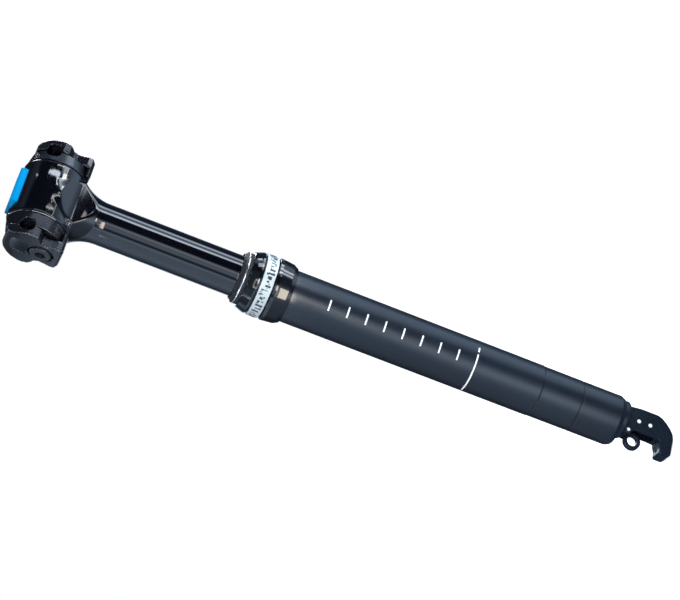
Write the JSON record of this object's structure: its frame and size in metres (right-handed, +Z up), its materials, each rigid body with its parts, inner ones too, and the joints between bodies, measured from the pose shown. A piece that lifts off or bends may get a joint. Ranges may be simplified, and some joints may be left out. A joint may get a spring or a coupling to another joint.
{
  "type": "dropper seatpost",
  "caption": "Slim dropper seatpost with a sliding stanchion, collar and wiper, side-clamped saddle rails and a cable lever at its lower end.",
  "frame": {"origin": "on the post's axis at the collar's shoulder, where the post rests on the frame's seat tube", "axes": "+Z up the post towards the saddle, X across the bicycle through both saddle rails, Y along the saddle rails"},
  "size_m": [0.0576, 0.0326, 0.3597],
  "materials": {
    "satin_black": "satin black anodised aluminium",
    "gloss_black": "gloss black",
    "collar_black": "gloss black",
    "silver_band": "pale satin ring",
    "rubber": "matte",
    "bright_steel": "bright",
    "bushing_plastic": "matte",
    "bracket_black": "satin black",
    "brass": "machined",
    "blue_plate": "bright blue, satin",
    "cartridge_grey": "machined",
    "dark_steel": "black oxide steel",
    "clamp_black": "satin black forged aluminium"
  },
  "bodies": {
    "outer_post": {"outer_tube": "satin_black", "lower_collar": "collar_black", "collar_band": "silver_band", "upper_collar": "collar_black", "tube_seal": "rubber", "dust_wiper": "rubber", "wiper_ring": "bright_steel", "upper_bushing": "bushing_plastic", "lower_sleeve": "satin_black", "end_plug": "satin_black", "cable_bracket": "bracket_black", "bracket_rivets": "bright_steel", "lever_axle": "bright_steel", "piston_rod": "bright_steel", "main_piston": "brass", "rod_nut": "bright_steel"},
    "sliding_post": {"stanchion": "gloss_black", "head_plate": "blue_plate", "guide_bushing": "bushing_plastic", "guide_keys": "brass", "cartridge_cylinder": "cartridge_grey", "cartridge_gland": "cartridge_grey", "top_out_bumper": "rubber", "cartridge_cap": "cartridge_grey"},
    "floating_piston_body": {"floating_piston": "cartridge_grey", "floating_seal": "rubber"},
    "saddle_clamp": {"tie_bar": "dark_steel", "cradle_left": "clamp_black", "cradle_right": "clamp_black"},
    "outer_clamp_left_body": {"outer_clamp_left": "clamp_black", "bolt_washer_left": "dark_steel"},
    "outer_clamp_right_body": {"outer_clamp_right": "clamp_black", "bolt_washer_right": "dark_steel"},
    "bolt_left": {"clamp_bolt_left": "dark_steel"},
    "bolt_right": {"clamp_bolt_right": "dark_steel"},
    "lever": {"actuator_lever": "bracket_black"},
    "valve": {"valve_pin": "bright_steel"}
  },
  "joints": [
    {"name": "dropper_slide", "type": "slide", "parent": "outer_post", "child": "sliding_post", "axis": [0, 0, 1], "range_m": [-0.07, 0], "stiffness_N_per_m": 500, "springref_m": 0.3},
    {"name": "floating_piston_slide", "type": "slide", "parent": "sliding_post", "child": "floating_piston_body", "axis": [0, 0, 1], "range_m": [0, 0.023]},
    {"name": "saddle_tilt", "type": "hinge", "parent": "sliding_post", "child": "saddle_clamp", "pos_m": [0, 0, 0.1284], "axis": [1, 0, 0], "range_deg": [-15, 15]},
    {"name": "clamp_open_right", "type": "slide", "parent": "saddle_clamp", "child": "outer_clamp_right_body", "axis": [1, 0, 0], "range_m": [0, 0.004]},
    {"name": "bolt_turn_right", "type": "hinge", "parent": "outer_clamp_right_body", "child": "bolt_right", "pos_m": [0.026, 0, 0.1227], "axis": [1, 0, 0], "range_deg": [0, 1440]},
    {"name": "clamp_open_left", "type": "slide", "parent": "saddle_clamp", "child": "outer_clamp_left_body", "axis": [-1, 0, 0], "range_m": [0, 0.004]},
    {"name": "bolt_turn_left", "type": "hinge", "parent": "outer_clamp_left_body", "child": "bolt_left", "pos_m": [-0.026, 0, 0.1227], "axis": [-1, 0, 0], "range_deg": [0, 1440]},
    {"name": "lever_pivot", "type": "hinge", "parent": "outer_post", "child": "lever", "pos_m": [-0.0041, 0, -0.1887], "axis": [0, -1, 0], "range_deg": [0, 20]},
    {"name": "valve_pin_slide", "type": "slide", "parent": "outer_post", "child": "valve", "axis": [0, 0, 1], "range_m": [0, 0.00145], "stiffness_N_per_m": 800, "springref_m": -0.0006}
  ],
  "couplings": [
    {"joint": "floating_piston_slide", "follows": "dropper_slide", "ratio": -0.3265},
    {"joint": "bolt_turn_right", "follows": "clamp_open_right", "rad_per_m": 6283.2},
    {"joint": "bolt_turn_left", "follows": "clamp_open_left", "rad_per_m": 6283.2},
    {"joint": "lever_pivot", "follows": "valve_pin_slide", "rad_per_m": 240.74}
  ]
}
